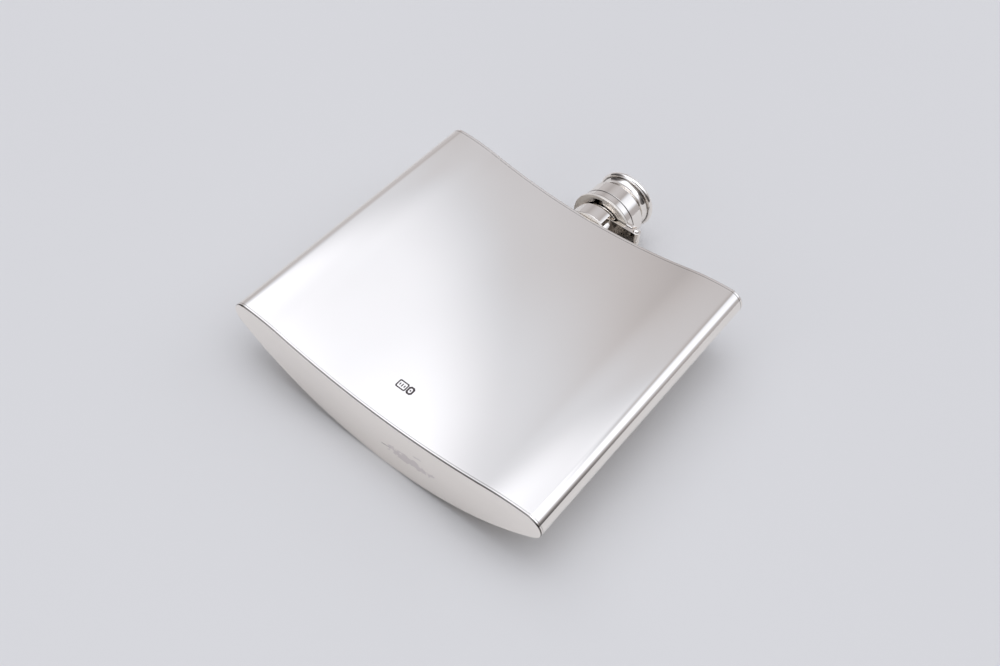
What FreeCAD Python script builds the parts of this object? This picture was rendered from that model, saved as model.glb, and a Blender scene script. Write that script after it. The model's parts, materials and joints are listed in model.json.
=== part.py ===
import FreeCAD, Part
import math
import os

# Curved hip flask lying on its convex face, with a captive bayonet cap.
# Millimetres. +X across the width, +Y from the base to the cap, +Z up through the thickness.
# The origin is at the middle of the bounding box's underside.

# Body: a crescent section, extruded from the base to the shoulder
BODY_WIDTH = 100.0
BODY_HEIGHT = 86.3
MID_THICKNESS = 20.3
HOLLOW_RADIUS = 150.0
HOLLOW_HALF_WIDTH = 33.0
ROLL_RADIUS = 60.0
EDGE_RADIUS = 4.2
SHEET = 0.8
PLATE = 0.9

# Neck axis, and the heights above the shoulder of what is stacked on it
NECK_Z = 12.5
SOLDER_GAP = 0.02
RUNNING_GAP = 0.08
TUBE_INNER_RADIUS = 4.6
TUBE_RADIUS = 5.4
TUBE_BELOW_SHOULDER = 1.7
TUBE_TOP = 13.7
FERRULE_TOP = 0.9
FERRULE_FOOT_RADIUS = 8.5
FERRULE_TOP_RADIUS = 8.1
COLLAR_FOOT = 1.0
COLLAR_TOP = 6.7
COLLAR_RADIUS = 6.2
SLEEVE_RADIUS = 8.0
SLEEVE_TOP = 5.5
SLEEVE_CHAMFER = 0.2
SLEEVE_END_X = 3.6

# Bayonet: a fixed flange with two lugs, and the ring that locks under them
FLANGE_FOOT = 6.9
FLANGE_TOP = 9.7
FLANGE_RADIUS = 6.7
LUG_FOOT = 8.5
LUG_RADIUS = 8.0
LUG_WIDTH = 2.2
LUG_ANGLES = (105.0, 285.0)
RING_FOOT = 7.1
RING_STEP = 7.8
RING_TOP = 8.3
RING_RADIUS = 9.7
RING_STEP_RADIUS = 9.4
RING_INNER_RADIUS = 7.3
SLOT_WIDTH = 3.4
SLOT_RADIUS = 8.6

# Cap above the ring
SKIRT_RADIUS = 9.0
CHANNEL_RADIUS = 8.35
SKIRT_TOP = 10.5
CAP_BORE_RADIUS = 7.3
PARTING_GROOVE = 0.15
BAND_TOP = 14.8
RIDGE_RADIUS = 8.4
RIDGE_TOP = 15.8
RIDGE_TOP_RADIUS = 8.0
GROOVE_MID = 17.2
GROOVE_RADIUS = 7.5
GROOVE_TOP = 18.7
GROOVE_TOP_RADIUS = 8.1
CROWN_FOOT = 15.9
CROWN = 0.8
HEAD_BORE_RADIUS = 6.6
BEAD_CENTRE = 19.75
BEAD_RADIUS = 1.0
BEAD_OUTER_RADIUS = 9.05
BEAD_INNER_RADIUS = 7.6
TOP_DISC_FOOT = 20.0
TOP_DISC_EDGE = 20.6
CAP_TOP = 21.0

# Seal inside the cap
SEAL_FOOT = 13.75
SEAL_TOP = 15.15
SEAL_RADIUS = 7.15
BACKING_TOP = 15.8
RETAINER_FOOT = 12.9
RETAINER_TOP = 13.7
RETAINER_INNER_RADIUS = 6.3

# Hinge: its pin runs through the thickness, beside the neck
HINGE_X = 11.7
HINGE_HEIGHT = 6.95
HINGE_HALF_LENGTH = 5.0
KNUCKLE_RADIUS = 1.35
KNUCKLE_CLEARANCE = 0.15
MID_KNUCKLE_HALF = 1.7
LEAF_GAP = 0.3
PIN_RADIUS = 0.6
PIN_FIT = 0.02
PIN_RUNNING_GAP = 0.06
PIN_HEAD_RADIUS = 1.0
PIN_HEAD = 0.55

# Derived places
TOTAL_LENGTH = BODY_HEIGHT + CAP_TOP
BASE_Y = -TOTAL_LENGTH / 2.0
SHOULDER_Y = BASE_Y + BODY_HEIGHT
HINGE_Y = SHOULDER_Y + HINGE_HEIGHT
OUTSIDE = 40.0
NECK_POINT = FreeCAD.Vector(0, SHOULDER_Y, NECK_Z)
ALONG_NECK = FreeCAD.Vector(0, 1, 0)
UPWARD = FreeCAD.Vector(0, 0, 1)


def save(shape, name):
    """Write one sub-part's STEP file."""
    shape.exportStep(os.path.join("parts", name + ".step"))


def crescent_face(inset, y):
    """The body's section at height y, drawn inside its outer outline by inset.

    From the middle of the upper face outwards it has a shallow hollow, a long roll-off
    and a small rounded edge, and one large arc closes it underneath.
    """
    hollow_centre = FreeCAD.Vector(0, y, MID_THICKNESS + HOLLOW_RADIUS)
    roll_angle = math.asin(HOLLOW_HALF_WIDTH / HOLLOW_RADIUS)
    to_join = FreeCAD.Vector(math.sin(roll_angle), 0, -math.cos(roll_angle))
    roll_centre = hollow_centre + to_join * (HOLLOW_RADIUS + ROLL_RADIUS)
    edge_x = BODY_WIDTH / 2.0 - EDGE_RADIUS
    reach = math.sqrt((ROLL_RADIUS - EDGE_RADIUS) ** 2 - (edge_x - roll_centre.x) ** 2)
    edge_z = roll_centre.z + reach
    edge_centre = FreeCAD.Vector(edge_x, y, edge_z)
    convex_radius = (edge_x**2 + edge_z**2 - EDGE_RADIUS**2) / (2.0 * (edge_z - EDGE_RADIUS))
    to_convex = (edge_centre - FreeCAD.Vector(0, y, convex_radius)).normalize()
    to_roll = (edge_centre - roll_centre).normalize()
    outward = (to_convex + to_roll).normalize()
    mid_roll = (to_roll - to_join).normalize()
    right = [edge_centre + way * (EDGE_RADIUS - inset) for way in (to_convex, outward, to_roll)]
    right.append(roll_centre + mid_roll * (ROLL_RADIUS - inset))
    right.append(hollow_centre + to_join * (HOLLOW_RADIUS + inset))
    left = [FreeCAD.Vector(-p.x, p.y, p.z) for p in right]
    lowest = FreeCAD.Vector(0, y, inset)
    highest = FreeCAD.Vector(0, y, MID_THICKNESS - inset)
    edges = [
        Part.Arc(left[0], lowest, right[0]).toShape(),
        Part.Arc(right[0], right[1], right[2]).toShape(),
        Part.Arc(right[2], right[3], right[4]).toShape(),
        Part.Arc(right[4], highest, left[4]).toShape(),
        Part.Arc(left[4], left[3], left[2]).toShape(),
        Part.Arc(left[2], left[1], left[0]).toShape(),
    ]
    return Part.Face(Part.Wire(edges))


def crescent_slab(inset, start, end):
    """A solid of the body's section between two heights above the base."""
    face = crescent_face(inset, BASE_Y + start)
    return face.extrude(ALONG_NECK * (end - start))


def neck_cylinder(radius, start, end):
    """A solid cylinder on the neck axis, between two heights above the shoulder."""
    foot = NECK_POINT + ALONG_NECK * start
    return Part.makeCylinder(radius, end - start, foot, ALONG_NECK)


def neck_tube_between(inner, outer, start, end):
    """A plain tube on the neck axis."""
    return neck_cylinder(outer, start, end).cut(neck_cylinder(inner, start, end))


def on_neck(radius, height):
    """A profile point at a radius from the neck axis and a height above the shoulder."""
    return FreeCAD.Vector(radius, SHOULDER_Y + height, NECK_Z)


def turned(steps):
    """A ring turned round the neck axis from a closed profile.

    Each step is (radius, height) for a straight run to that point, or
    (mid radius, mid height, radius, height) for an arc through the middle point.
    The first step is the starting point.
    """
    start = on_neck(*steps[0])
    here = start
    edges = []
    for step in steps[1:]:
        there = on_neck(*step[-2:])
        if len(step) == 4:
            edges.append(Part.Arc(here, on_neck(*step[:2]), there).toShape())
        else:
            edges.append(Part.LineSegment(here, there).toShape())
        here = there
    edges.append(Part.LineSegment(here, start).toShape())
    face = Part.Face(Part.Wire(edges))
    return face.revolve(NECK_POINT, ALONG_NECK, 360)


def spoke(inner, outer, width, start, end, angle):
    """A block that runs outward from the neck axis, turned from +X towards +Z by angle."""
    corner = FreeCAD.Vector(inner, SHOULDER_Y + start, NECK_Z - width / 2.0)
    block = Part.makeBox(outer - inner, end - start, width, corner)
    block.rotate(NECK_POINT, ALONG_NECK, -angle)
    return block


def hinge_cylinder(radius, low, high):
    """A cylinder on the hinge axis, between two heights measured from the neck axis."""
    foot = FreeCAD.Vector(HINGE_X, HINGE_Y, NECK_Z + low)
    return Part.makeCylinder(radius, high - low, foot, UPWARD)


def leaf_plate(start, end):
    """A hinge leaf's plate, from the neck axis out to the hinge axis."""
    corner = FreeCAD.Vector(0, SHOULDER_Y + start, NECK_Z - HINGE_HALF_LENGTH)
    return Part.makeBox(HINGE_X, end - start, 2.0 * HINGE_HALF_LENGTH, corner)


def body_wrap():
    """The sheet sleeve that forms both faces and both rounded edges."""
    sleeve = crescent_slab(0.0, PLATE, BODY_HEIGHT - PLATE)
    return sleeve.cut(crescent_slab(SHEET, 0.0, BODY_HEIGHT))


def base_plate():
    """The flat crescent plate that closes the bottom."""
    return crescent_slab(0.0, 0.0, PLATE)


def shoulder_plate():
    """The flat crescent plate that closes the top, with the neck's hole."""
    plate = crescent_slab(0.0, BODY_HEIGHT - PLATE, BODY_HEIGHT)
    return plate.cut(neck_cylinder(TUBE_RADIUS + SOLDER_GAP, -2.0 * PLATE, PLATE))


def neck_ferrule():
    """The low boss at the foot of the neck."""
    bore = TUBE_RADIUS + SOLDER_GAP
    mid_radius = (FERRULE_FOOT_RADIUS + 3.0 * FERRULE_TOP_RADIUS) / 4.0
    mid_height = FERRULE_TOP / 3.0
    return turned([
        (bore, 0.0),
        (FERRULE_FOOT_RADIUS, 0.0),
        (mid_radius, mid_height, FERRULE_TOP_RADIUS, FERRULE_TOP),
        (bore, FERRULE_TOP),
    ])


def neck_tube():
    """The pouring tube, open at both ends."""
    return neck_tube_between(TUBE_INNER_RADIUS, TUBE_RADIUS, -TUBE_BELOW_SHOULDER, TUBE_TOP)


def bayonet_flange():
    """The fixed ring that keeps the collar on the tube and carries the lugs."""
    return neck_tube_between(TUBE_RADIUS + SOLDER_GAP, FLANGE_RADIUS, FLANGE_FOOT, FLANGE_TOP)


def bayonet_lugs():
    """Two lugs that stand out from the flange."""
    reach = neck_tube_between(FLANGE_RADIUS + SOLDER_GAP, LUG_RADIUS, LUG_FOOT, FLANGE_TOP)
    lugs = []
    for angle in LUG_ANGLES:
        block = spoke(0.0, OUTSIDE, LUG_WIDTH, LUG_FOOT, FLANGE_TOP, angle)
        lugs += block.common(reach).Solids
    return Part.makeCompound(lugs)


def swivel_collar():
    """The collar that turns on the tube, under the flange.

    Its wide sleeve stops short of the hinge, where only the inner ring goes on round.
    """
    bore = TUBE_RADIUS + RUNNING_GAP
    collar = turned([
        (bore, COLLAR_FOOT),
        (SLEEVE_RADIUS, COLLAR_FOOT),
        (SLEEVE_RADIUS, SLEEVE_TOP - SLEEVE_CHAMFER),
        (SLEEVE_RADIUS - SLEEVE_CHAMFER, SLEEVE_TOP),
        (COLLAR_RADIUS, SLEEVE_TOP),
        (COLLAR_RADIUS, COLLAR_TOP),
        (bore, COLLAR_TOP),
    ])
    corner = FreeCAD.Vector(SLEEVE_END_X, SHOULDER_Y, NECK_Z - OUTSIDE)
    hinge_side = Part.makeBox(OUTSIDE, CAP_TOP, 2.0 * OUTSIDE, corner)
    return collar.cut(hinge_side.cut(neck_cylinder(COLLAR_RADIUS, 0.0, CAP_TOP)))


def collar_hinge_leaf():
    """The collar's hinge plate, with a knuckle at each end."""
    plate = leaf_plate(HINGE_HEIGHT - KNUCKLE_RADIUS, HINGE_HEIGHT - LEAF_GAP / 2.0)
    collar_room = COLLAR_RADIUS + SOLDER_GAP
    plate = plate.cut(neck_cylinder(collar_room, 0.0, CAP_TOP))
    knuckles = hinge_cylinder(KNUCKLE_RADIUS, -HINGE_HALF_LENGTH, HINGE_HALF_LENGTH)
    leaf = plate.fuse(knuckles)
    half_gap = MID_KNUCKLE_HALF + KNUCKLE_CLEARANCE / 2.0
    leaf = leaf.cut(hinge_cylinder(KNUCKLE_RADIUS + KNUCKLE_CLEARANCE, -half_gap, half_gap))
    bore = hinge_cylinder(PIN_RADIUS + PIN_FIT, -HINGE_HALF_LENGTH, HINGE_HALF_LENGTH)
    return leaf.cut(bore).removeSplitter()


def hinge_pin():
    """The pin through the knuckles, with a domed head at each end."""
    pin = hinge_cylinder(PIN_RADIUS, -HINGE_HALF_LENGTH, HINGE_HALF_LENGTH)
    dome_radius = (PIN_HEAD_RADIUS**2 + PIN_HEAD**2) / (2.0 * PIN_HEAD)
    for side in (-1, 1):
        dome_z = NECK_Z + side * (HINGE_HALF_LENGTH + PIN_HEAD - dome_radius)
        dome = Part.makeSphere(dome_radius, FreeCAD.Vector(HINGE_X, HINGE_Y, dome_z))
        ends = sorted((side * HINGE_HALF_LENGTH, side * (HINGE_HALF_LENGTH + PIN_HEAD)))
        pin = pin.fuse(dome.common(hinge_cylinder(PIN_HEAD_RADIUS, *ends)))
    return pin.removeSplitter()


def cap_lock_ring():
    """The cap's lower ring, whose two slots let the lugs in."""
    ring = turned([
        (RING_INNER_RADIUS, RING_FOOT),
        (RING_RADIUS, RING_FOOT),
        (RING_RADIUS, RING_STEP),
        (RING_STEP_RADIUS, RING_STEP),
        (RING_STEP_RADIUS, RING_TOP),
        (RING_INNER_RADIUS, RING_TOP),
    ])
    for angle in LUG_ANGLES:
        ring = ring.cut(spoke(FLANGE_RADIUS, SLOT_RADIUS, SLOT_WIDTH, RING_FOOT, RING_TOP, angle))
    return ring


def cap_hinge_leaf():
    """The cap's hinge plate, with the middle knuckle."""
    plate = leaf_plate(HINGE_HEIGHT + LEAF_GAP / 2.0, HINGE_HEIGHT + KNUCKLE_RADIUS)
    plate = plate.cut(neck_cylinder(RING_RADIUS + SOLDER_GAP, 0.0, CAP_TOP))
    for low, high in ((-HINGE_HALF_LENGTH, -MID_KNUCKLE_HALF), (MID_KNUCKLE_HALF, HINGE_HALF_LENGTH)):
        plate = plate.cut(hinge_cylinder(KNUCKLE_RADIUS + KNUCKLE_CLEARANCE, low, high))
    knuckle = hinge_cylinder(KNUCKLE_RADIUS, -MID_KNUCKLE_HALF, MID_KNUCKLE_HALF)
    bore = hinge_cylinder(PIN_RADIUS + PIN_RUNNING_GAP, -HINGE_HALF_LENGTH, HINGE_HALF_LENGTH)
    return plate.fuse(knuckle).cut(bore).removeSplitter()


def cap_skirt():
    """The plain band above the ring. The lugs turn inside it."""
    return neck_tube_between(CHANNEL_RADIUS, SKIRT_RADIUS, RING_TOP, SKIRT_TOP)


def cap_barrel():
    """The second band, with the ridge, the hollow groove and the crown inside."""
    inner_radius = SKIRT_RADIUS - PARTING_GROOVE
    return turned([
        (CAP_BORE_RADIUS, SKIRT_TOP),
        (inner_radius, SKIRT_TOP),
        (SKIRT_RADIUS, SKIRT_TOP + PARTING_GROOVE),
        (SKIRT_RADIUS, BAND_TOP),
        (RIDGE_RADIUS, BAND_TOP + PARTING_GROOVE),
        (RIDGE_RADIUS, (BAND_TOP + RIDGE_TOP) / 2.0, RIDGE_TOP_RADIUS, RIDGE_TOP),
        (GROOVE_RADIUS, GROOVE_MID, GROOVE_TOP_RADIUS, GROOVE_TOP),
        (HEAD_BORE_RADIUS, GROOVE_TOP),
        (HEAD_BORE_RADIUS, CROWN_FOOT + CROWN),
        (0.0, CROWN_FOOT + CROWN),
        (0.0, CROWN_FOOT),
        (CAP_BORE_RADIUS, CROWN_FOOT),
    ])


def cap_rim_bead():
    """The half-round bead round the top of the cap."""
    flat_radius = BEAD_OUTER_RADIUS - BEAD_RADIUS
    return turned([
        (BEAD_INNER_RADIUS, BEAD_CENTRE - BEAD_RADIUS),
        (flat_radius, BEAD_CENTRE - BEAD_RADIUS),
        (BEAD_OUTER_RADIUS, BEAD_CENTRE, flat_radius, BEAD_CENTRE + BEAD_RADIUS),
        (BEAD_INNER_RADIUS, BEAD_CENTRE + BEAD_RADIUS),
    ])


def cap_top_disc():
    """The slightly domed disc that closes the top."""
    radius = BEAD_INNER_RADIUS - SOLDER_GAP
    rise = CAP_TOP - TOP_DISC_EDGE
    dome_radius = (radius**2 + rise**2) / (2.0 * rise)
    dome = Part.makeSphere(dome_radius, NECK_POINT + ALONG_NECK * (CAP_TOP - dome_radius))
    return neck_cylinder(radius, TOP_DISC_FOOT, CAP_TOP).common(dome)


def seal_disc():
    """The soft washer that closes the mouth."""
    return neck_cylinder(SEAL_RADIUS, SEAL_FOOT, SEAL_TOP)


def seal_backing_plate():
    """The thin plate behind the washer."""
    return neck_cylinder(SEAL_RADIUS, SEAL_TOP, BACKING_TOP)


def seal_retaining_ring():
    """The ring that holds the washer's edge in the cap."""
    outer = CAP_BORE_RADIUS - SOLDER_GAP
    return neck_tube_between(RETAINER_INNER_RADIUS, outer, RETAINER_FOOT, RETAINER_TOP)


os.makedirs("parts", exist_ok=True)
save(body_wrap(), "body_wrap")
save(base_plate(), "base_plate")
save(shoulder_plate(), "shoulder_plate")
save(neck_ferrule(), "neck_ferrule")
save(neck_tube(), "neck_tube")
save(bayonet_flange(), "bayonet_flange")
save(bayonet_lugs(), "bayonet_lugs")
save(swivel_collar(), "swivel_collar")
save(collar_hinge_leaf(), "collar_hinge_leaf")
save(hinge_pin(), "hinge_pin")
save(cap_lock_ring(), "cap_lock_ring")
save(cap_hinge_leaf(), "cap_hinge_leaf")
save(cap_skirt(), "cap_skirt")
save(cap_barrel(), "cap_barrel")
save(cap_rim_bead(), "cap_rim_bead")
save(cap_top_disc(), "cap_top_disc")
save(seal_disc(), "seal_disc")
save(seal_backing_plate(), "seal_backing_plate")
save(seal_retaining_ring(), "seal_retaining_ring")
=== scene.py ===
import json
import math

import bmesh
import bpy
from mathutils import Matrix, Vector


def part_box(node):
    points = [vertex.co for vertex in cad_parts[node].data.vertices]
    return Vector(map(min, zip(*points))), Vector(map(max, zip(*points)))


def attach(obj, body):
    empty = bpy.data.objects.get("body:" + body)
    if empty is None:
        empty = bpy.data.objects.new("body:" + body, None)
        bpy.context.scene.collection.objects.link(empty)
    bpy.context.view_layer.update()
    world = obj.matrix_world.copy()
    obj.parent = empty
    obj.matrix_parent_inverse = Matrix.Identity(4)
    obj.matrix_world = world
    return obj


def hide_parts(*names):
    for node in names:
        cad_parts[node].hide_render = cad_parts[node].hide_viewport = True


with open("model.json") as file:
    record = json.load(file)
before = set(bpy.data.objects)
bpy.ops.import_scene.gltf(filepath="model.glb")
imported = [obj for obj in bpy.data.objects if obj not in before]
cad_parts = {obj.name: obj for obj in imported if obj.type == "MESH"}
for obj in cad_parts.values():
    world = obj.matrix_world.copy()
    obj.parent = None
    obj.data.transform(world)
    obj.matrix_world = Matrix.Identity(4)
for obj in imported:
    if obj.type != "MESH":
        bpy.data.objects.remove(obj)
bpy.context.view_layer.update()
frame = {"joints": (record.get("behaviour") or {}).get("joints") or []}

# A polished silver hip flask that lies on its convex face, with a hinged bayonet cap.
# Metres, in the row frame: +X towards the hinge, +Y from the base to the cap, +Z up.

MM = 0.001
JOINTS = {joint["name"]: joint for joint in frame["joints"]}
NECK = Vector(JOINTS["bayonet_twist"]["pos_m"])
HINGE = Vector(JOINTS["cap_flip"]["pos_m"])


def span(node):
    """A CAD node's lowest and highest height above the shoulder."""
    low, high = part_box(node)
    return low.y - NECK.y, high.y - NECK.y


def radius_of(node):
    """A turned CAD node's outer radius, about the neck axis."""
    low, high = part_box(node)
    return (high.z - low.z) / 2


# Body section: a shallow hollow, a long roll-off, a small rounded edge and one large arc below
BODY_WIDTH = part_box("body_wrap")[1].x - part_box("body_wrap")[0].x
MID_THICKNESS = 20.3 * MM
HOLLOW_RADIUS = 150.0 * MM
HOLLOW_HALF_WIDTH = 33.0 * MM
ROLL_RADIUS = 60.0 * MM
EDGE_RADIUS = 4.2 * MM
SHEET = 0.8 * MM
HOLLOW_STEPS, ROLL_STEPS, EDGE_STEPS, BELLY_STEPS = 34, 14, 30, 52

# Turned pieces
TURN_STEPS = 128
FILLET_STEPS = 4
SUPPORT = 0.04 * MM
SHARP = math.radians(32)

# What hand finishing leaves: shallow waves that die away towards the sleeve's ends
RIPPLE = 0.012 * MM
RIPPLE_FADE = 8.0


def polar(angle):
    """A unit step in the plane, at an angle."""
    return Vector((math.cos(angle), math.sin(angle)))


def arc(centre, radius, start, end, steps):
    """Points on an arc from one angle towards another, without the last."""
    return [centre + radius * polar(start + (end - start) * i / steps) for i in range(steps)]


def section(inset):
    """The body's section drawn inside its outer outline by inset, as a closed list of (x, z)."""
    turn = math.asin(HOLLOW_HALF_WIDTH / HOLLOW_RADIUS)
    hollow = Vector((0, MID_THICKNESS + HOLLOW_RADIUS))
    roll = hollow + (HOLLOW_RADIUS + ROLL_RADIUS) * polar(turn - math.pi / 2)
    edge_x = BODY_WIDTH / 2 - EDGE_RADIUS
    edge_z = roll.y + math.sqrt((ROLL_RADIUS - EDGE_RADIUS) ** 2 - (edge_x - roll.x) ** 2)
    edge = Vector((edge_x, edge_z))
    belly_radius = (edge.length_squared - EDGE_RADIUS**2) / (2 * (edge_z - EDGE_RADIUS))
    belly = Vector((0, belly_radius))
    top = math.atan2(edge.y - roll.y, edge.x - roll.x)
    low = math.atan2(edge.y - belly.y, edge.x - belly.x)
    half = arc(hollow, HOLLOW_RADIUS + inset, -math.pi / 2, turn - math.pi / 2, HOLLOW_STEPS)
    half += arc(roll, ROLL_RADIUS - inset, turn + math.pi / 2, top, ROLL_STEPS)
    half += arc(edge, EDGE_RADIUS - inset, top, low, EDGE_STEPS)
    half += arc(belly, belly_radius - inset, low, -math.pi / 2, BELLY_STEPS)
    lowest = belly + (belly_radius - inset) * polar(-math.pi / 2)
    return half + [lowest] + [Vector((-p.x, p.y)) for p in reversed(half[1:])]


OUTLINE = section(0.0)
INWARD = [(inner - outer) / SHEET for inner, outer in zip(section(SHEET), OUTLINE)]


def ripple(point, y):
    """How far hand finishing has left the sheet below its true surface, away from its ends."""
    low, high = (corner.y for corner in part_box("body_wrap"))
    share = (y - low) / (high - low)
    across = math.sin(point.x / (9.5 * MM) + 0.8) * math.sin(y / (11.0 * MM) + 1.9)
    along = math.sin(point.x / (15.0 * MM) + y / (21.0 * MM) + 0.4)
    kept = max(0.0, min(1.0, RIPPLE_FADE * share * (1.0 - share)))
    return RIPPLE * (2.0 + across + along) * kept


def rounded(corners):
    """A closed outline with its corners rounded off, from (u, v) or (u, v, fillet radius)."""
    points = []
    count = len(corners)
    for i, corner in enumerate(corners):
        here = Vector(corner[:2])
        fillet = corner[2] if len(corner) > 2 else 0.0
        if fillet == 0.0:
            points.append(here)
            continue
        before = (Vector(corners[i - 1][:2]) - here).normalized()
        after = (Vector(corners[(i + 1) % count][:2]) - here).normalized()
        half = before.angle(after) / 2
        reach = fillet / math.tan(half)
        centre = here + (before + after).normalized() * (fillet / math.sin(half))
        first, last = here + before * reach, here + after * reach
        start = math.atan2(*reversed(first - centre))
        turn = math.remainder(math.atan2(*reversed(last - centre)) - start, math.tau)
        angles = [start + turn * k / FILLET_STEPS for k in range(FILLET_STEPS + 1)]
        points.append(first + before * SUPPORT)
        points += [centre + fillet * polar(angle) for angle in angles]
        points.append(last + after * SUPPORT)
    return points


def bend(start, middle, end, steps):
    """Points between start and end on the circle through all three, both ends left out."""
    start, middle, end = Vector(start), Vector(middle), Vector(end)
    a, b = middle - start, end - start
    cross = 2 * (a.x * b.y - a.y * b.x)
    offset = Vector((b.y * a.length_squared - a.y * b.length_squared,
                     a.x * b.length_squared - b.x * a.length_squared)) / cross
    centre = start + offset
    first = math.atan2(start.y - centre.y, start.x - centre.x)
    turn = math.remainder(math.atan2(end.y - centre.y, end.x - centre.x) - first, math.tau)
    return [tuple(centre + offset.length * polar(first + turn * k / steps)) for k in range(1, steps)]


def new_piece(name, shape):
    """A piece from a bmesh, smooth apart from its sharp edges."""
    bmesh.ops.recalc_face_normals(shape, faces=shape.faces)
    mesh = bpy.data.meshes.new(name)
    shape.to_mesh(mesh)
    shape.free()
    piece = bpy.data.objects.new(name, mesh)
    bpy.context.scene.collection.objects.link(piece)
    mesh.shade_smooth()
    mesh.set_sharp_from_angle(angle=SHARP)
    return piece


def join_rings(shape, rings, closed):
    """Faces between one ring of vertices and the next. A ring of one vertex is a point."""
    pairs = list(zip(rings, rings[1:]))
    if closed:
        pairs.append((rings[-1], rings[0]))
    for lower, upper in pairs:
        count = max(len(lower), len(upper))
        for i in range(count):
            j = (i + 1) % count
            below = [lower[i % len(lower)], lower[j % len(lower)]]
            above = [upper[j % len(upper)], upper[i % len(upper)]]
            corners = list(dict.fromkeys(below + above))
            if len(corners) > 2:
                shape.faces.new(corners)


def along_body(name, profile, closed):
    """A piece whose profile of (inset, y) points follows the body's section all round."""
    shape = bmesh.new()
    rings = []
    for inset, y in profile:
        ring = []
        for point, inward in zip(OUTLINE, INWARD):
            at = point + inward * max(inset, ripple(point, y) if inset == 0.0 else 0.0)
            ring.append(shape.verts.new((at.x, y, at.y)))
        rings.append(ring)
    join_rings(shape, rings, closed)
    if not closed:
        shape.faces.new(rings[0])
        shape.faces.new(rings[-1])
    return new_piece(name, shape)


def on_neck(out, height):
    """A place round the neck axis, at a height above the shoulder."""
    return NECK + Vector((out.x, height, out.y))


def on_hinge(out, height):
    """A place round the hinge axis, at a height along it."""
    return HINGE + Vector((out.x, out.y, height))


def turned(name, corners, place=on_neck):
    """A piece turned round an axis from (radius, height) corners, which may be rounded."""
    shape = bmesh.new()
    rings = []
    for radius, height in rounded(corners):
        steps = TURN_STEPS if radius > 0 else 1
        ring = []
        for i in range(steps):
            ring.append(shape.verts.new(place(radius * polar(math.tau * i / steps), height)))
        rings.append(ring)
    join_rings(shape, rings, closed=True)
    return new_piece(name, shape)


def block(name, low, high, angles=(0.0,)):
    """A box between two corners measured from the neck, or one for each angle from +X towards +Z."""
    shape = bmesh.new()
    for angle in angles:
        box = bmesh.ops.create_cube(shape, size=1.0)["verts"]
        turn = Matrix.Rotation(-angle, 3, "Y")
        for vertex in box:
            corner = Vector(low[k] + (vertex.co[k] + 0.5) * (high[k] - low[k]) for k in range(3))
            vertex.co = NECK + turn @ corner
    return new_piece(name, shape)


def drum(name, radius, low, high, place=on_neck):
    """A plain round bar on an axis, for joining and cutting."""
    return turned(name, [(0.0, low), (radius, low), (radius, high), (0.0, high)], place)


def bake_modifiers(piece):
    """Applies the piece's modifiers to its mesh."""
    graph = bpy.context.evaluated_depsgraph_get()
    result = bpy.data.meshes.new_from_object(piece.evaluated_get(graph))
    piece.modifiers.clear()
    piece.data = result
    result.shade_smooth()
    result.set_sharp_from_angle(angle=SHARP)


def combine(piece, others, operation):
    """Joins other shapes to the piece, or cuts them out of it."""
    for other in others:
        change = piece.modifiers.new(operation, "BOOLEAN")
        change.operation = operation
        change.solver = "EXACT"
        change.material_mode = "TRANSFER"
        change.object = other
    bake_modifiers(piece)
    for other in others:
        bpy.data.objects.remove(other)


def soften(piece, width, steps):
    """Rounds off the piece's sharp edges."""
    change = piece.modifiers.new("soften", "BEVEL")
    change.limit_method = "ANGLE"
    change.angle_limit = SHARP
    change.width = width
    change.segments = steps
    bake_modifiers(piece)


# ---------------------------------------------------------------- materials

# The colour sockets of a Mix node, which names the sockets of every data type alike
MIX_A, MIX_B, MIX_RESULT = 6, 7, 2

# Noise textures, as scale per metre and detail, and then the part of their range that is used
WIPE_GRAIN = (900, 5)
TINT_DRIFT = (38, 3, 0.35, 0.75)
WIPE_SMEAR = (120, 4, 0.3, 0.75)
SCUFF_FRAY = (700, 4, 0.25, 0.75)
OXIDE_GRAIN = (2600, 3, 0.3, 0.7)
RUBBER_SPECKLE = (1500, 4, 0.35, 0.65)
PAPER_CLOUD = (3, 2, 0.3, 0.7)

# Colours and roughness at either end of their noise
OXIDE_COLOURS = ((0.04, 0.03, 0.03), (0.1, 0.08, 0.08))
OXIDE_GLOSS = (0.35, 0.6)
OXIDE_METAL = 0.6
RUBBER_COLOURS = ((0.66, 0.62, 0.56), (0.74, 0.71, 0.66))
RUBBER_GLOSS = (0.55, 0.75)

# Bump height of the wipe marks, and the share of a painted shade band's half width that is fully dark
WIPE_HEIGHT = 0.004 * MM
SHADE_BAND_CORE = 0.4

# Where a scuff starts to fade and where it has gone, in units of its half size
SCUFF_FADE = (0.85, 1.05)


def new_material(name):
    """A node material, with its node tree and its shader."""
    material = bpy.data.materials.new(name)
    material.use_nodes = True
    shader = material.node_tree.nodes["Principled BSDF"]
    return material, material.node_tree, shader


def noise(tree, scale, detail, stretch=(1, 1, 1)):
    """A noise texture in the row frame's metres, stretched along chosen axes."""
    place = tree.nodes.new("ShaderNodeTexCoord")
    mapping = tree.nodes.new("ShaderNodeMapping")
    mapping.inputs["Scale"].default_value = stretch
    texture = tree.nodes.new("ShaderNodeTexNoise")
    texture.inputs["Scale"].default_value = scale
    texture.inputs["Detail"].default_value = detail
    tree.links.new(place.outputs["Object"], mapping.inputs["Vector"])
    tree.links.new(mapping.outputs["Vector"], texture.inputs["Vector"])
    return texture.outputs["Fac"]


def remap(tree, value, low, high, out_low, out_high):
    """The value eased from one range into another, and held at both ends."""
    node = tree.nodes.new("ShaderNodeMapRange")
    node.interpolation_type = "SMOOTHSTEP"
    node.inputs["From Min"].default_value = low
    node.inputs["From Max"].default_value = high
    node.inputs["To Min"].default_value = out_low
    node.inputs["To Max"].default_value = out_high
    tree.links.new(value, node.inputs["Value"])
    return node.outputs["Result"]


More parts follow.
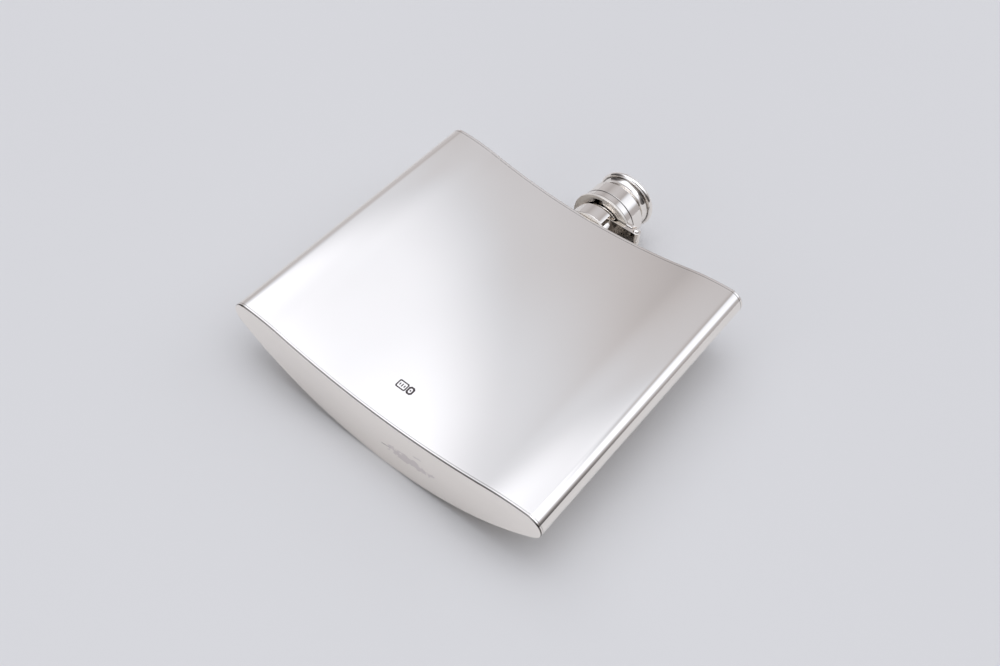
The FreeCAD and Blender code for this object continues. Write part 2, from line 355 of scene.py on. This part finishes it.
def drifting(tree, look, out_low=0.0, out_high=1.0, stretch=(1, 1, 1)):
    """A noise, eased from the used part of its range into another range."""
    scale, detail, low, high = look
    return remap(tree, noise(tree, scale, detail, stretch), low, high, out_low, out_high)


def mixed(tree, share, first, second):
    """A colour between two, by a share that is a socket."""
    node = tree.nodes.new("ShaderNodeMix")
    node.data_type = "RGBA"
    tree.links.new(share, node.inputs["Factor"])
    for index, colour in ((MIX_A, first), (MIX_B, second)):
        if isinstance(colour, bpy.types.NodeSocket):
            tree.links.new(colour, node.inputs[index])
        else:
            node.inputs[index].default_value = (*colour, 1)
    return node.outputs[MIX_RESULT]


def calculated(tree, operation, first, second=0.0):
    """A Math node's result, from two inputs that are each a number or a socket."""
    node = tree.nodes.new("ShaderNodeMath")
    node.operation = operation
    for socket, value in zip(node.inputs, (first, second)):
        if isinstance(value, bpy.types.NodeSocket):
            tree.links.new(value, socket)
        else:
            socket.default_value = value
    return node.outputs[0]


def painted_bands(tree, clean, shade_bands):
    """The clean colour, darkened by painted shade in narrow bands, each (place along the flask, half width,
    strength).
    """
    place = tree.nodes.new("ShaderNodeTexCoord")
    split = tree.nodes.new("ShaderNodeSeparateXYZ")
    tree.links.new(place.outputs["Object"], split.inputs["Vector"])
    for at, half_width, strength in shade_bands:
        distance = calculated(tree, "ABSOLUTE", calculated(tree, "SUBTRACT", split.outputs["Y"], at))
        share = remap(tree, distance, half_width * SHADE_BAND_CORE, half_width, strength, 0.0)
        clean = mixed(tree, share, clean, PAINTED_SHADE_COLOUR)
    return clean


def patch(tree, middle, half_size, tilt, ragged):
    """A share that is 1 inside a ragged oval drawn on the plane across the flask, and 0 outside it."""
    place = tree.nodes.new("ShaderNodeTexCoord")
    mapping = tree.nodes.new("ShaderNodeMapping")
    mapping.vector_type = "TEXTURE"
    mapping.inputs["Location"].default_value = (middle[0], 0, middle[1])
    mapping.inputs["Rotation"].default_value = (0, -tilt, 0)
    mapping.inputs["Scale"].default_value = (half_size[0], 1, half_size[1])
    distance = tree.nodes.new("ShaderNodeVectorMath")
    distance.operation = "LENGTH"
    tree.links.new(place.outputs["Object"], mapping.inputs["Vector"])
    tree.links.new(mapping.outputs["Vector"], distance.inputs[0])
    fray = drifting(tree, SCUFF_FRAY, -ragged, ragged)
    frayed = calculated(tree, "ADD", distance.outputs["Value"], fray)
    return remap(tree, frayed, *SCUFF_FADE, 1.0, 0.0)


def silver(name, tint, shade, gloss, wipe, stretch, shade_bands=(), scuffs=(), metal=1.0):
    """Polished silver. Tarnish drifts between tint and shade, and wipe marks run one way.

    gloss is the roughness where it is wiped clean and where it is smeared, wipe the strength of
    the wipe marks, and each scuff is a patch and the colour that it has been dulled to.
    """
    material, tree, shader = new_material(name)
    shader.inputs["Metallic"].default_value = metal
    # The colour is darkened by bands of painted shade
    colour = painted_bands(tree, mixed(tree, drifting(tree, TINT_DRIFT), tint, shade), shade_bands)
    for scuff, dulled in scuffs:
        colour = mixed(tree, patch(tree, **scuff), colour, dulled)
    tree.links.new(colour, shader.inputs["Base Color"])
    tree.links.new(drifting(tree, WIPE_SMEAR, *gloss, stretch), shader.inputs["Roughness"])
    bump = tree.nodes.new("ShaderNodeBump")
    bump.inputs["Strength"].default_value = wipe
    bump.inputs["Distance"].default_value = WIPE_HEIGHT
    tree.links.new(noise(tree, *WIPE_GRAIN, stretch), bump.inputs["Height"])
    tree.links.new(bump.outputs["Normal"], shader.inputs["Normal"])
    return material


def oxide(name):
    """The dark film left in punched marks."""
    material, tree, shader = new_material(name)
    shader.inputs["Metallic"].default_value = OXIDE_METAL
    grain = drifting(tree, OXIDE_GRAIN)
    tree.links.new(mixed(tree, grain, *OXIDE_COLOURS), shader.inputs["Base Color"])
    tree.links.new(remap(tree, grain, 0, 1, *OXIDE_GLOSS), shader.inputs["Roughness"])
    return material


def rubber(name):
    """The soft seal: matt, with a fine speckle."""
    material, tree, shader = new_material(name)
    speckle = drifting(tree, RUBBER_SPECKLE)
    tree.links.new(mixed(tree, speckle, *RUBBER_COLOURS), shader.inputs["Base Color"])
    tree.links.new(remap(tree, speckle, 0, 1, *RUBBER_GLOSS), shader.inputs["Roughness"])
    return material


def finish(piece, body, nodes, slot, *materials):
    """Gives the piece its materials, parents it to the body that it moves with and hides the CAD nodes that
    it stands for.
    """
    for i, material in enumerate(materials):
        if i < len(piece.data.materials):
            piece.data.materials[i] = material
        else:
            piece.data.materials.append(material)
    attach(piece, body)
    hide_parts(*nodes)


# The colour that the bands of painted shade darken towards
PAINTED_SHADE_COLOUR = (0.1, 0.085, 0.075)
BASE_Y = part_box("base_plate")[0].y
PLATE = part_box("base_plate")[1].y - BASE_Y
# Painted shade in narrow bands along the sleeve's seams with the base plate and the shoulder plate
SEAM_SHADE_WIDTH = 0.2 * MM
BODY_SEAM_SHADE = (
    (BASE_Y + PLATE, SEAM_SHADE_WIDTH, 0.3),
    (NECK.y - PLATE, SEAM_SHADE_WIDTH, 0.5),
)
# Painted shade on the base plate's rim, clear of its flat face, and on the whole outer side of the shoulder
# plate
PLATE_SHADE_BANDS = (
    *BODY_SEAM_SHADE,
    (BASE_Y + 0.28 * MM, 0.27 * MM, 0.95),
    (NECK.y, 0.4 * MM, 0.35),
)
PLATE_SCUFFS = (
    (dict(middle=(9.8 * MM, 10.0 * MM), half_size=(6.6 * MM, 1.7 * MM),
          tilt=math.radians(5), ragged=0.5), (0.76, 0.7, 0.69)),
    (dict(middle=(12.8 * MM, 14.2 * MM), half_size=(1.4 * MM, 0.4 * MM),
          tilt=math.radians(11), ragged=0.4), (0.8, 0.75, 0.73)),
    (dict(middle=(1.6 * MM, 9.25 * MM), half_size=(1.5 * MM, 0.15 * MM),
          tilt=math.radians(10), ragged=0.3), (0.3, 0.27, 0.26)),
)
# Painted shade on the fixed ring, at the height of its lugs
NECK_SHADE_BANDS = ((NECK.y + 8.6 * MM, 1.2 * MM, 0.6),)
# Painted shade along the lower side of the collar's hinge leaf
LEAF_SHADE_BANDS = ((HINGE.y - 1.35 * MM, 0.16 * MM, 0.8),)
# Painted shade where the lock ring meets the skirt, then between the bands, at the ridge's foot and under the
# rim
RING_SHADE_BANDS = ((NECK.y + 8.25 * MM, 0.25 * MM, 0.8),)
CAP_SHADE_BANDS = (
    *RING_SHADE_BANDS,
    (NECK.y + 10.5 * MM, 0.26 * MM, 0.85),
    (NECK.y + 14.9 * MM, 0.2 * MM, 0.8),
    (NECK.y + 18.72 * MM, 0.16 * MM, 0.6),
)
CLEAN = (0.95, 0.905, 0.85)
WORN = (0.925, 0.875, 0.815)
LENGTHWISE = (1, 0.25, 1)
CROSSWISE = (0.3, 1, 1)
ROUND_THE_NECK = (1, 4, 1)
UPRIGHT = (1, 1, 0.3)
PLATE_LOOK = dict(tint=(0.99, 0.94, 0.885), shade=(0.97, 0.92, 0.86), gloss=(0.06, 0.13), wipe=0.2,
                  stretch=CROSSWISE, shade_bands=PLATE_SHADE_BANDS)
BODY_SILVER = silver("body_silver", tint=CLEAN, shade=(0.94, 0.893, 0.837), gloss=(0.045, 0.075),
                     wipe=0.12, stretch=LENGTHWISE, shade_bands=BODY_SEAM_SHADE)
BASE_SILVER = silver("base_silver", **PLATE_LOOK, scuffs=PLATE_SCUFFS)
SHOULDER_SILVER = silver("shoulder_silver", **PLATE_LOOK)
NECK_SILVER = silver("neck_silver", tint=CLEAN, shade=WORN, gloss=(0.04, 0.08),
                     wipe=0.15, stretch=ROUND_THE_NECK, shade_bands=NECK_SHADE_BANDS)
CAP_SILVER = silver("cap_silver", tint=CLEAN, shade=WORN, gloss=(0.03, 0.08),
                    wipe=0.15, stretch=ROUND_THE_NECK, shade_bands=CAP_SHADE_BANDS)
SATIN_SILVER = silver("satin_silver", tint=(0.86, 0.81, 0.74), shade=(0.8, 0.745, 0.67), gloss=(0.28, 0.36),
                      wipe=0.06, stretch=ROUND_THE_NECK, shade_bands=RING_SHADE_BANDS, metal=0.5)
HINGE_SILVER = silver("hinge_silver", tint=(0.93, 0.88, 0.82), shade=(0.87, 0.81, 0.74), gloss=(0.05, 0.11),
                      wipe=0.2, stretch=UPRIGHT, shade_bands=LEAF_SHADE_BANDS)
OXIDE = oxide("mark_oxide")
SEAL_RUBBER = rubber("seal_rubber")

# ---------------------------------------------------------------- body

SEAM = 0.03 * MM
PLATE_EDGE = 0.28 * MM
PLATE_FIELD = 1.1 * MM
RINGS = 24

# Punched marks, as (place across, width, corner cut, line width), in a row above the base
MARK_DEPTH = 0.1 * MM
MARK_ABOVE = 1.0 * MM
MARK_Y = BASE_Y + 10.8 * MM
MARK_HEIGHT = 2.5 * MM
BAR_MARK = (-1.7 * MM, 3.1 * MM, 0.3 * MM, 0.36 * MM)
DOT_MARK = (0.95 * MM, 1.9 * MM, 0.5 * MM, 0.5 * MM)
INNER_CUT = 0.6
BAR_WIDTH = 0.3 * MM
BAR_HEIGHT = 1.05 * MM
BAR_SHORTER = 0.3 * MM
BAR_SPACING = 0.72 * MM
BAR_CUT = 0.06 * MM
DOT_SIZE = 0.48 * MM
DOT_CUT = 0.15 * MM


def mark_prism(shape, outline, top, bottom):
    """Adds one closed upright prism to a bmesh."""
    rings = [[shape.verts.new((x, y, z)) for x, y in outline] for z in (bottom, top)]
    join_rings(shape, rings, closed=False)
    shape.faces.new(rings[0])
    shape.faces.new(rings[1])


def octagon(centre, width, height, cut):
    """A rectangle with its corners cut off."""
    w, h = width / 2, height / 2
    quarter = [(w, h - cut), (w - cut, h)]
    corners = []
    for sx, sy in ((1, 1), (-1, 1), (-1, -1), (1, -1)):
        pair = quarter if sx * sy > 0 else reversed(quarter)
        corners += [(centre[0] + sx * x, centre[1] + sy * y) for x, y in pair]
    return corners


def punch_marks():
    """The cutter for two small punched marks, each a dark frame round a plain motif."""
    shape = bmesh.new()
    top, bottom = MID_THICKNESS + MARK_ABOVE, MID_THICKNESS - MARK_DEPTH
    for x, width, cut, line in (BAR_MARK, DOT_MARK):
        outer = octagon((x, MARK_Y), width, MARK_HEIGHT, cut)
        inner = octagon((x, MARK_Y), width - 2 * line, MARK_HEIGHT - 2 * line, cut * INNER_CUT)
        rings = [[shape.verts.new((u, v, z)) for u, v in corners]
                 for corners, z in ((outer, bottom), (outer, top), (inner, top), (inner, bottom))]
        join_rings(shape, rings, closed=True)
    for k in (-1, 0, 1):
        middle = (BAR_MARK[0] + k * BAR_SPACING, MARK_Y)
        height = BAR_HEIGHT - abs(k) * BAR_SHORTER
        mark_prism(shape, octagon(middle, BAR_WIDTH, height, BAR_CUT), top, bottom)
    mark_prism(shape, octagon((DOT_MARK[0], MARK_Y), DOT_SIZE, DOT_SIZE, DOT_CUT), top, bottom)
    return new_piece("mark_cutter", shape)


def make_wrap():
    """The sheet sleeve, with the marks punched into its hollow face."""
    low, high = (corner.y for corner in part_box("body_wrap"))
    outline = rounded([(SHEET, low), (0.0, low, SEAM), (0.0, high, SEAM), (SHEET, high)])
    skin = len(outline) // 2
    start, end = outline[skin - 1], outline[skin]
    rings = [start + (end - start) * k / RINGS for k in range(1, RINGS)]
    wrap = along_body("silver_wrap", outline[:skin] + rings + outline[skin:], closed=True)
    wrap.data.materials.append(BODY_SILVER)
    wrap.data.materials.append(OXIDE)
    cutter = punch_marks()
    cutter.data.materials.append(OXIDE)
    combine(wrap, [cutter], "DIFFERENCE")
    finish(wrap, "flask_body", ["body_wrap"], "body_silver", BODY_SILVER, OXIDE)


def make_plate(name, node, outward):
    """A flat end plate, with a small rounded edge outside and a fine seam inside."""
    low, high = (corner.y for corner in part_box(node))
    inner, outer = (high, low) if outward < 0 else (low, high)
    ring = rounded([(PLATE_FIELD, inner), (0.0, inner, SEAM), (0.0, outer, PLATE_EDGE), (PLATE_FIELD, outer)])
    return along_body(name, ring, closed=False)


def make_body():
    """The sleeve and its two end plates."""
    make_wrap()
    base = make_plate("silver_base", "base_plate", -1)
    finish(base, "flask_body", ["base_plate"], "plate_silver", BASE_SILVER)
    shoulder = make_plate("silver_shoulder", "shoulder_plate", 1)
    combine(shoulder, [drum("bore", radius_of("neck_tube"), -3 * PLATE, PLATE)], "DIFFERENCE")
    finish(shoulder, "flask_body", ["shoulder_plate"], "plate_silver", SHOULDER_SILVER)


# ---------------------------------------------------------------- neck

TUBE_BORE = 4.6 * MM
TUBE_RADIUS = radius_of("neck_tube")
LIP = 0.25 * MM
CRISP = 0.1 * MM
LUG_ANGLES = (math.radians(105), math.radians(285))
LUG_WIDTH = 2.2 * MM
SLOT_WIDTH = 3.4 * MM
SLOT_RADIUS = 8.6 * MM
BOSS_TOP_RADIUS = 8.1 * MM


def make_neck():
    """What is fixed to the shoulder: the tube, its boss, the flange and the lugs."""
    low, high = span("neck_tube")
    tube = turned("pouring_tube", [
        (TUBE_BORE, low, CRISP), (TUBE_RADIUS, low, CRISP), (TUBE_RADIUS, high, LIP), (TUBE_BORE, high, LIP)])
    finish(tube, "flask_body", ["neck_tube"], "neck_silver", NECK_SILVER)

    foot, (low, high) = radius_of("neck_ferrule"), span("neck_ferrule")
    middle = ((foot + 3 * BOSS_TOP_RADIUS) / 4, high / 3)
    boss = turned("neck_boss", [
        (TUBE_RADIUS, low), (foot, low), *bend((foot, low), middle, (BOSS_TOP_RADIUS, high), steps=8),
        (BOSS_TOP_RADIUS, high, CRISP), (TUBE_RADIUS, high)])
    finish(boss, "flask_body", ["neck_ferrule"], "neck_silver", SATIN_SILVER)

    flange, (low, high) = radius_of("bayonet_flange"), span("bayonet_flange")
    ring = turned("bayonet_ring", [
        (TUBE_RADIUS, low), (flange, low, CRISP), (flange, high, LIP), (TUBE_RADIUS, high)])
    finish(ring, "flask_body", ["bayonet_flange"], "neck_silver", NECK_SILVER)

    low, high = span("bayonet_lugs")
    reach = radius_of("bayonet_lugs")
    inside, outside = (flange, low, -LUG_WIDTH / 2), (2 * reach, high, LUG_WIDTH / 2)
    lugs = block("bayonet_lug_pair", inside, outside, LUG_ANGLES)
    combine(lugs, [drum("reach", reach, 0, 2 * high)], "INTERSECT")
    soften(lugs, CRISP, steps=2)
    finish(lugs, "flask_body", ["bayonet_lugs"], "neck_silver", NECK_SILVER)


# ---------------------------------------------------------------- collar and hinge

COLLAR_BORE = TUBE_RADIUS + 0.08 * MM
COLLAR_RADIUS = 6.2 * MM
SLEEVE_RADIUS = 8.0 * MM
SLEEVE_TOP = 5.5 * MM
SLEEVE_END = 3.6 * MM
FAR = 30 * MM
LEAF_HALF = (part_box("cap_hinge_leaf")[1].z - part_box("cap_hinge_leaf")[0].z) / 2
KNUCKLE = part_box("collar_hinge_leaf")[1].x - HINGE.x
KNUCKLE_ROOM = KNUCKLE + 0.15 * MM
MID_KNUCKLE = 1.7 * MM
KNUCKLE_GAP = 0.075 * MM
LEAF_GAP = 0.3 * MM
PIN_RADIUS = 0.6 * MM
PIN_HEAD = 1.0 * MM
PIN_CHEEK = (0.75, 0.55)
LEAF_EDGE = 0.1 * MM


def make_collar():
    """The sleeve that swivels on the neck, cut back on the side of the hinge."""
    low, high = span("swivel_collar")
    collar = turned("collar_sleeve", [
        (COLLAR_BORE, low), (SLEEVE_RADIUS, low, CRISP), (SLEEVE_RADIUS, SLEEVE_TOP, 2 * CRISP),
        (COLLAR_RADIUS, SLEEVE_TOP), (COLLAR_RADIUS, high, CRISP), (COLLAR_BORE, high, CRISP)])
    hinge_side = block("hinge_side", (SLEEVE_END, -FAR, -FAR), (FAR, FAR, FAR))
    combine(hinge_side, [drum("kept", COLLAR_RADIUS, -2 * FAR, 2 * FAR)], "DIFFERENCE")
    combine(collar, [hinge_side], "DIFFERENCE")
    soften(collar, CRISP, steps=2)
    finish(collar, "collar", ["swivel_collar"], "neck_silver", NECK_SILVER)


def knuckle(radius, low, high):
    """A round bar on the hinge axis."""
    return drum("knuckle", radius, low, high, on_hinge)


def make_hinge():
    """The two leaves, their knuckles and the headed pin."""
    pivot = HINGE - NECK
    below = (pivot.y - KNUCKLE, pivot.y - LEAF_GAP / 2)
    lower = block("collar_leaf", (0, below[0], -LEAF_HALF), (pivot.x, below[1], LEAF_HALF))
    combine(lower, [drum("collar_room", COLLAR_RADIUS, -FAR, FAR)], "DIFFERENCE")
    combine(lower, [knuckle(KNUCKLE, -LEAF_HALF, LEAF_HALF)], "UNION")
    middle = MID_KNUCKLE + KNUCKLE_GAP
    combine(lower, [knuckle(KNUCKLE_ROOM, -middle, middle)], "DIFFERENCE")
    soften(lower, LEAF_EDGE, steps=2)
    finish(lower, "collar", ["collar_hinge_leaf"], "hinge_silver", HINGE_SILVER)

    above = (pivot.y + LEAF_GAP / 2, pivot.y + KNUCKLE)
    upper = block("cap_leaf", (0, above[0], -LEAF_HALF), (pivot.x, above[1], LEAF_HALF))
    combine(upper, [drum("ring_room", radius_of("cap_lock_ring"), -FAR, FAR)], "DIFFERENCE")
    ends = [knuckle(KNUCKLE_ROOM, *sorted((way * 2 * LEAF_HALF, way * MID_KNUCKLE))) for way in (-1, 1)]
    combine(upper, ends, "DIFFERENCE")
    combine(upper, [knuckle(KNUCKLE, -MID_KNUCKLE, MID_KNUCKLE)], "UNION")
    soften(upper, LEAF_EDGE, steps=2)
    finish(upper, "cap", ["cap_hinge_leaf"], "hinge_silver", HINGE_SILVER)

    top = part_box("hinge_pin")[1].z - HINGE.z
    cheek = (PIN_CHEEK[0] * PIN_HEAD, LEAF_HALF + PIN_CHEEK[1] * (top - LEAF_HALF))
    dome = bend((PIN_HEAD, LEAF_HALF), cheek, (0.0, top), steps=8)
    half = [(PIN_RADIUS, LEAF_HALF), (PIN_HEAD, LEAF_HALF), *dome, (0.0, top)]
    pin = turned("pin", [(r, -h) for r, h in reversed(half)] + half, on_hinge)
    finish(pin, "collar", ["hinge_pin"], "hinge_silver", HINGE_SILVER)


# ---------------------------------------------------------------- cap

RING_INNER = 7.3 * MM
RING_STEP = 7.8 * MM
RING_STEP_RADIUS = 9.4 * MM
CHANNEL_RADIUS = 8.35 * MM
CAP_RADIUS = radius_of("cap_skirt")
CAP_BORE = 7.3 * MM
PARTING = 0.2 * MM
BAND_TOP = 14.8 * MM
RIDGE = 8.4 * MM
RIDGE_TOP = 15.8 * MM
RIDGE_TOP_RADIUS = 8.0 * MM
GROOVE = (7.5 * MM, 17.2 * MM)
GROOVE_TOP_RADIUS = 8.1 * MM
HEAD_BORE = 6.6 * MM
CROWN_FOOT, CROWN_TOP = 15.9 * MM, 16.7 * MM
BEAD = 1.0 * MM
BEAD_OUTER = 9.05 * MM
RETAINER_INNER = 6.3 * MM
DISC_EDGE = 0.6 * MM
DISC_SHOULDER = 0.75


def cap_piece(name, node, corners, material=None, slot="cap_silver"):
    """A turned piece that moves with the cap."""
    finish(turned(name, corners), "cap", [node], slot, material or CAP_SILVER)


def make_cap():
    """The lock ring, the bands above it, the rim, the top and the seal inside."""
    low, high = span("cap_lock_ring")
    outer = radius_of("cap_lock_ring")
    ring = turned("lock_ring", [
        (RING_INNER, low, CRISP), (outer, low, CRISP), (outer, RING_STEP, CRISP),
        (RING_STEP_RADIUS, RING_STEP), (RING_STEP_RADIUS, high, CRISP), (RING_INNER, high)])
    inside, outside = (0, low - MM, -SLOT_WIDTH / 2), (2 * SLOT_RADIUS, high + MM, SLOT_WIDTH / 2)
    slots = block("slots", inside, outside, LUG_ANGLES)
    combine(slots, [drum("slot_reach", SLOT_RADIUS, 0, 2 * high)], "INTERSECT")
    combine(ring, [slots], "DIFFERENCE")
    finish(ring, "cap", ["cap_lock_ring"], "cap_silver", SATIN_SILVER)

    low, high = span("cap_skirt")
    cap_piece("cap_skirt_band", "cap_skirt", [
        (CHANNEL_RADIUS, low), (CAP_RADIUS, low, CRISP), (CAP_RADIUS, high, PARTING), (CHANNEL_RADIUS, high)])

    foot, top = span("cap_barrel")
    ridge_mid = (RIDGE, (BAND_TOP + RIDGE_TOP) / 2)
    cap_piece("cap_barrel_band", "cap_barrel", [
        (CAP_BORE, foot), (CAP_RADIUS, foot, PARTING), (CAP_RADIUS, BAND_TOP, CRISP),
        (RIDGE, BAND_TOP + PARTING),
        *bend((RIDGE, BAND_TOP + PARTING), ridge_mid, (RIDGE_TOP_RADIUS, RIDGE_TOP), steps=6),
        (RIDGE_TOP_RADIUS, RIDGE_TOP),
        *bend((RIDGE_TOP_RADIUS, RIDGE_TOP), GROOVE, (GROOVE_TOP_RADIUS, top), steps=20),
        (GROOVE_TOP_RADIUS, top), (HEAD_BORE, top), (HEAD_BORE, CROWN_TOP), (0.0, CROWN_TOP),
        (0.0, CROWN_FOOT), (CAP_BORE, CROWN_FOOT, CRISP)])

    low, high = span("cap_rim_bead")
    inner = radius_of("cap_top_disc")
    flat = BEAD_OUTER - BEAD
    cap_piece("cap_rim", "cap_rim_bead", [
        (inner, low), (flat, low), *bend((flat, low), (BEAD_OUTER, low + BEAD), (flat, high), steps=16),
        (flat, high), (inner, high, CRISP)])

    low, high = span("cap_top_disc")
    edge = low + DISC_EDGE
    dome = bend((inner, edge), (inner / 2, edge + DISC_SHOULDER * (high - edge)), (0.0, high), steps=16)
    cap_piece("cap_top", "cap_top_disc", [(0.0, low), (inner, low), (inner, edge), *dome, (0.0, high)])

    low, high = span("seal_disc")
    reach = radius_of("seal_disc")
    cap_piece("seal", "seal_disc", [(0.0, low), (reach, low, LIP), (reach, high, CRISP), (0.0, high)],
              SEAL_RUBBER, "seal")
    low, high = span("seal_backing_plate")
    cap_piece("seal_backing", "seal_backing_plate", [
        (0.0, low), (reach, low, CRISP), (reach, high, CRISP), (0.0, high)])
    low, high = span("seal_retaining_ring")
    reach = radius_of("seal_retaining_ring")
    cap_piece("seal_keeper", "seal_retaining_ring", [
        (RETAINER_INNER, low, CRISP), (reach, low, CRISP), (reach, high), (RETAINER_INNER, high, CRISP)])


make_body()
make_neck()
make_collar()
make_hinge()
make_cap()

# ---------------------------------------------------------------- studio

CAMERA_AZIMUTH = 37.24
CAMERA_ELEVATION = 52.91
CAMERA_ROLL = 2.45
CAMERA_DISTANCE = 305.37 * MM
CAMERA_TARGET = Vector((-2.79 * MM, -2.48 * MM, 0.0))
LENS = 39.2
NEAREST, FURTHEST = 0.01, 20.0

# The surroundings get brighter upwards and to the left, and are never dimmer than one level
SKY_SLOPE = (-0.45, 0, 1.43)
SKY_SHIFT = -0.585
SKY_DIMMEST = 0.46

# Soft round patches of the surroundings, in degrees from the flask: azimuth and elevation of the
# middle, how far out the patch ends and how far out it is full, and then its strength
BRIGHT_PATCHES = (
    (-173, 59, 65.7, 57.8, 0.305),
    (-173, 62, 52, 30, 1.08),
    (42, 38, 24, 8, 0.6),
    (-73, 48, 26, 4, 0.2),
    (100, 76, 32, 8, 2.4),
    (0, 16, 34, 6, 0.4),
    (85, 38, 42, 15, 0.4),
    (-70, 6, 36, 12, 0.12),
    (180, 80, 24, 6, 3.0),
)
# The same for dark patches, whose strength is the share of the light that they take away
DARK_PATCHES = (
    (85, 6, 32, 14, 0.8),
    (152, 52, 38, 12, 0.75),
    (118, 22, 34, 14, 0.85),
    (-173, 62, 44, 20, 0.35),
    (-110, 20, 44, 16, 0.85),
)
# Dim parts are a little warm and bright parts cool
WARM, COOL = (0.985, 0.955, 1.0), (0.915, 0.955, 1.055)
WARM_LEVEL, COOL_LEVEL = 0.48, 0.8

FLOOR_REACH = 1.5
FLOOR_GRID = 8
FLOOR_DROP = 0.02 * MM
PAPER = ((0.607, 0.59, 0.568), (0.619, 0.602, 0.579))
PAPER_ROUGHNESS = 0.6
PAPER_SHINE = 0.15


def heading(azimuth, elevation):
    """A direction from compass degrees, with 0 at +Y and 90 at +X, and degrees above the floor."""
    a, e = math.radians(azimuth), math.radians(elevation)
    return Vector((math.sin(a) * math.cos(e), math.cos(a) * math.cos(e), math.sin(e)))


def make_camera():
    """The camera, from where it looks, how it is rolled and what it looks at."""
    a, e, roll = (math.radians(x) for x in (CAMERA_AZIMUTH, CAMERA_ELEVATION, CAMERA_ROLL))
    back = Vector((math.sin(a) * math.cos(e), -math.cos(a) * math.cos(e), math.sin(e)))
    right = Vector((math.cos(a), math.sin(a), 0))
    up = back.cross(right)
    turned_right = right * math.cos(roll) + up * math.sin(roll)
    turned_up = up * math.cos(roll) - right * math.sin(roll)
    data = bpy.data.cameras.new("camera")
    data.lens = LENS
    data.clip_start, data.clip_end = NEAREST, FURTHEST
    camera = bpy.data.objects.new("camera", data)
    turn = Matrix((turned_right, turned_up, back)).transposed()
    camera.matrix_world = Matrix.Translation(CAMERA_TARGET + back * CAMERA_DISTANCE) @ turn.to_4x4()
    bpy.context.scene.collection.objects.link(camera)
    bpy.context.scene.camera = camera


def make_studio_light():
    """Soft light from all round, as a brightness and a tint for each direction."""
    world = bpy.data.worlds.new("studio")
    bpy.context.scene.world = world
    world.use_nodes = True
    tree = world.node_tree
    background = tree.nodes["Background"]
    direction = tree.nodes.new("ShaderNodeTexCoord").outputs["Generated"]

    def along(vector):
        """How far each direction points along the vector."""
        node = tree.nodes.new("ShaderNodeVectorMath")
        node.operation = "DOT_PRODUCT"
        tree.links.new(direction, node.inputs[0])
        node.inputs[1].default_value = vector
        return node.outputs["Value"]

    def lobe(azimuth, elevation, outer, inner, strength):
        """A soft round patch, which fades between two angles from its middle."""
        edge, core = (math.cos(math.radians(x)) for x in (outer, inner))
        return remap(tree, along(heading(azimuth, elevation)), edge, core, 0.0, strength)

    level = calculated(tree, "ADD", along(SKY_SLOPE), SKY_SHIFT)
    level = calculated(tree, "MAXIMUM", level, SKY_DIMMEST)
    for bright in BRIGHT_PATCHES:
        level = calculated(tree, "ADD", level, lobe(*bright))
    for dark in DARK_PATCHES:
        kept = calculated(tree, "SUBTRACT", 1.0, lobe(*dark))
        level = calculated(tree, "MULTIPLY", level, kept)
    coolness = remap(tree, level, WARM_LEVEL, COOL_LEVEL, 0.0, 1.0)
    tree.links.new(mixed(tree, coolness, WARM, COOL), background.inputs["Color"])
    tree.links.new(level, background.inputs["Strength"])


def make_floor():
    """A sheet of pale paper that the flask lies on."""
    shape = bmesh.new()
    bmesh.ops.create_grid(shape, x_segments=FLOOR_GRID, y_segments=FLOOR_GRID, size=FLOOR_REACH)
    floor = new_piece("floor", shape)
    floor.location.z = -FLOOR_DROP
    material, tree, shader = new_material("floor_paper")
    tree.links.new(mixed(tree, drifting(tree, PAPER_CLOUD), *PAPER), shader.inputs["Base Color"])
    shader.inputs["Roughness"].default_value = PAPER_ROUGHNESS
    shader.inputs["Specular IOR Level"].default_value = PAPER_SHINE
    floor.data.materials.append(material)


make_camera()
make_studio_light()
make_floor()
bpy.context.scene.view_settings.view_transform = "Standard"
